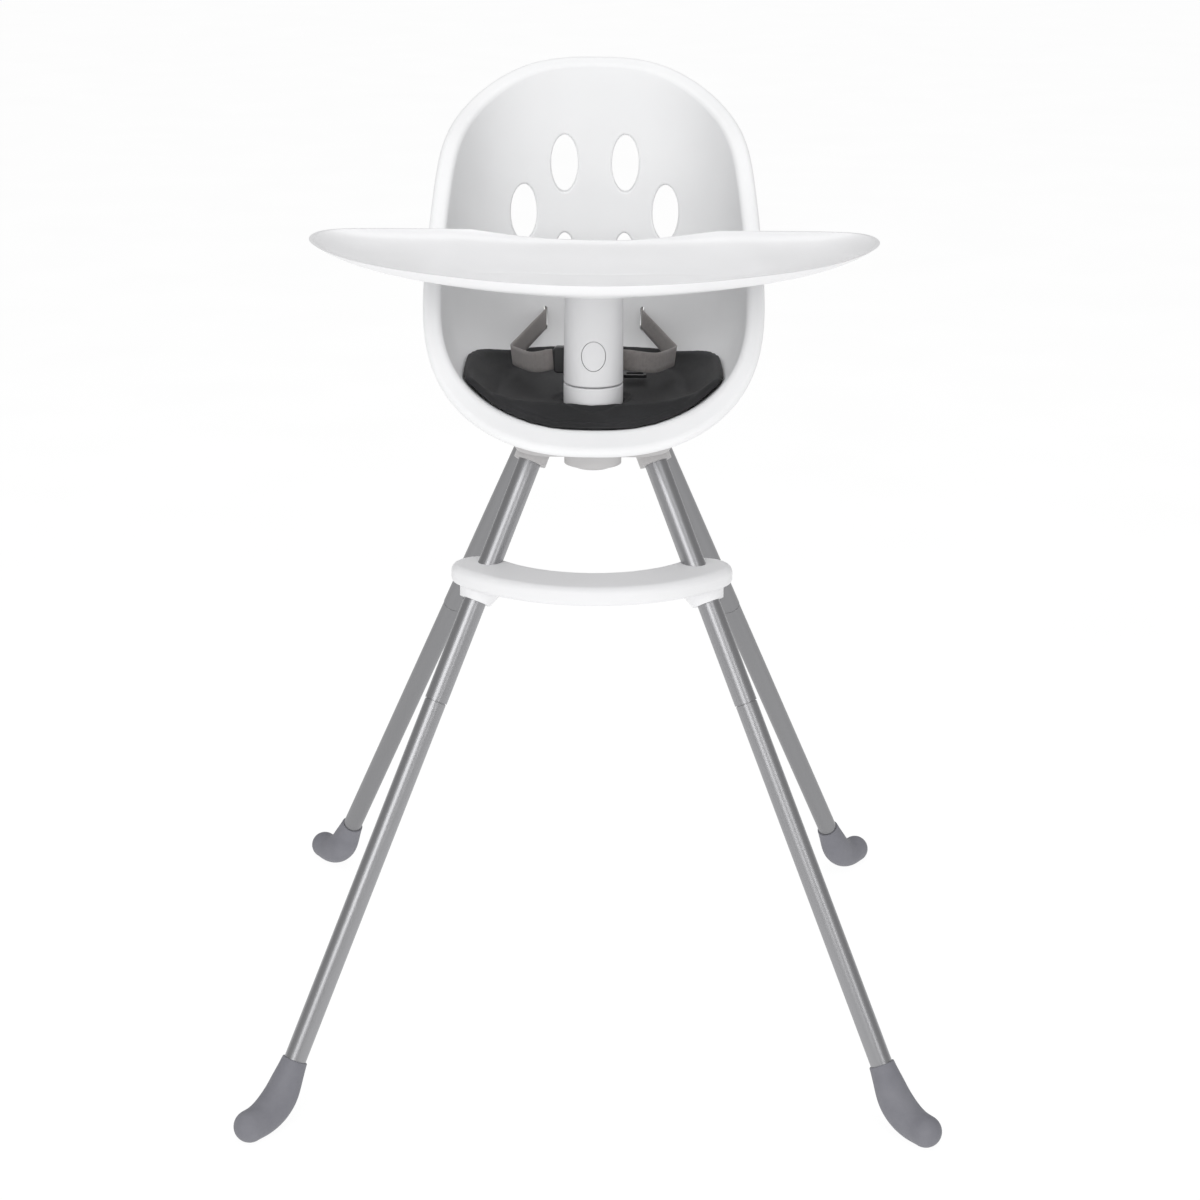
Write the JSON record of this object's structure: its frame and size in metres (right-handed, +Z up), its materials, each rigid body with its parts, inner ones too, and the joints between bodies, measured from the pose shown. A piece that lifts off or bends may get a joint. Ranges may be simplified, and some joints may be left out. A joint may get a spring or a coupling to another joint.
{
  "type": "high chair",
  "caption": "Baby high chair: moulded foam bucket seat on splayed two-piece aluminium legs, with a half-moon tray on a lift-off post, a crescent footrest and a lap belt.",
  "frame": {"origin": "on the floor, in the middle of the four feet", "axes": "+Z up, -Y towards the front of the chair where the tray is, +X to the right seen from the front"},
  "size_m": [0.6604, 0.6724, 0.9494],
  "materials": {
    "shell_foam": "matte moulded foam skin",
    "pad_foam": "matte moulded foam",
    "tray_white": "satin gloss",
    "footrest_white": "satin",
    "hub_grey": "fine grained",
    "tube_aluminium": "satin anodised",
    "boot_rubber": "matte",
    "webbing": "woven",
    "buckle_black": "satin",
    "steel": "plated"
  },
  "bodies": {
    "seat_and_frame": {"seat_shell": "shell_foam", "seat_pad": "pad_foam", "hub": "hub_grey", "boss_cap": "hub_grey", "clamp_plate": "steel", "hub_screws": "steel", "dock_post": "tray_white", "stem_collar": "tray_white", "footrest": "footrest_white", "strap_left": "webbing", "buckle_socket": "buckle_black", "strap_adjuster": "buckle_black", "strap_anchor_left": "buckle_black", "strap_anchor_right": "buckle_black", "upper_leg_front_left": "tube_aluminium", "upper_leg_front_right": "tube_aluminium", "upper_leg_rear_left": "tube_aluminium", "upper_leg_rear_right": "tube_aluminium"},
    "tray": {"tray_top": "tray_white", "tray_stem": "tray_white", "tray_latch": "hub_grey"},
    "tray_button": {"tray_button": "tray_white"},
    "harness_tongue": {"buckle_tongue": "buckle_black", "strap_right": "webbing"},
    "leg_front_left": {"lower_leg_front_left": "tube_aluminium", "leg_clip_front_left": "steel", "boot_front_left": "boot_rubber"},
    "leg_front_right": {"lower_leg_front_right": "tube_aluminium", "leg_clip_front_right": "steel", "boot_front_right": "boot_rubber"},
    "leg_rear_left": {"lower_leg_rear_left": "tube_aluminium", "leg_clip_rear_left": "steel", "boot_rear_left": "boot_rubber"},
    "leg_rear_right": {"lower_leg_rear_right": "tube_aluminium", "leg_clip_rear_right": "steel", "boot_rear_right": "boot_rubber"}
  },
  "joints": [
    {"name": "tray_lift", "type": "slide", "parent": "seat_and_frame", "child": "tray", "axis": [0, 0, 1], "range_m": [0, 0.09], "deforming": ["tray_latch"]},
    {"name": "tray_button_push", "type": "slide", "parent": "tray", "child": "tray_button", "axis": [0, 1, 0], "range_m": [0, 0.003], "stiffness_N_per_m": 900, "springref_m": -0.002, "deforming": ["tray_latch"]},
    {"name": "buckle_release", "type": "slide", "parent": "seat_and_frame", "child": "harness_tongue", "axis": [1, 0, 0], "range_m": [0, 0.03], "deforming": ["strap_right"]},
    {"name": "leg_pull_front_left", "type": "slide", "parent": "seat_and_frame", "child": "leg_front_left", "axis": [-0.3547, -0.3547, -0.8651], "range_m": [0, 0.065], "deforming": ["leg_clip_front_left"]},
    {"name": "leg_pull_front_right", "type": "slide", "parent": "seat_and_frame", "child": "leg_front_right", "axis": [0.3547, -0.3547, -0.8651], "range_m": [0, 0.065], "deforming": ["leg_clip_front_right"]},
    {"name": "leg_pull_rear_left", "type": "slide", "parent": "seat_and_frame", "child": "leg_rear_left", "axis": [-0.3547, 0.3547, -0.8651], "range_m": [0, 0.065], "deforming": ["leg_clip_rear_left"]},
    {"name": "leg_pull_rear_right", "type": "slide", "parent": "seat_and_frame", "child": "leg_rear_right", "axis": [0.3547, 0.3547, -0.8651], "range_m": [0, 0.065], "deforming": ["leg_clip_rear_right"]}
  ]
}
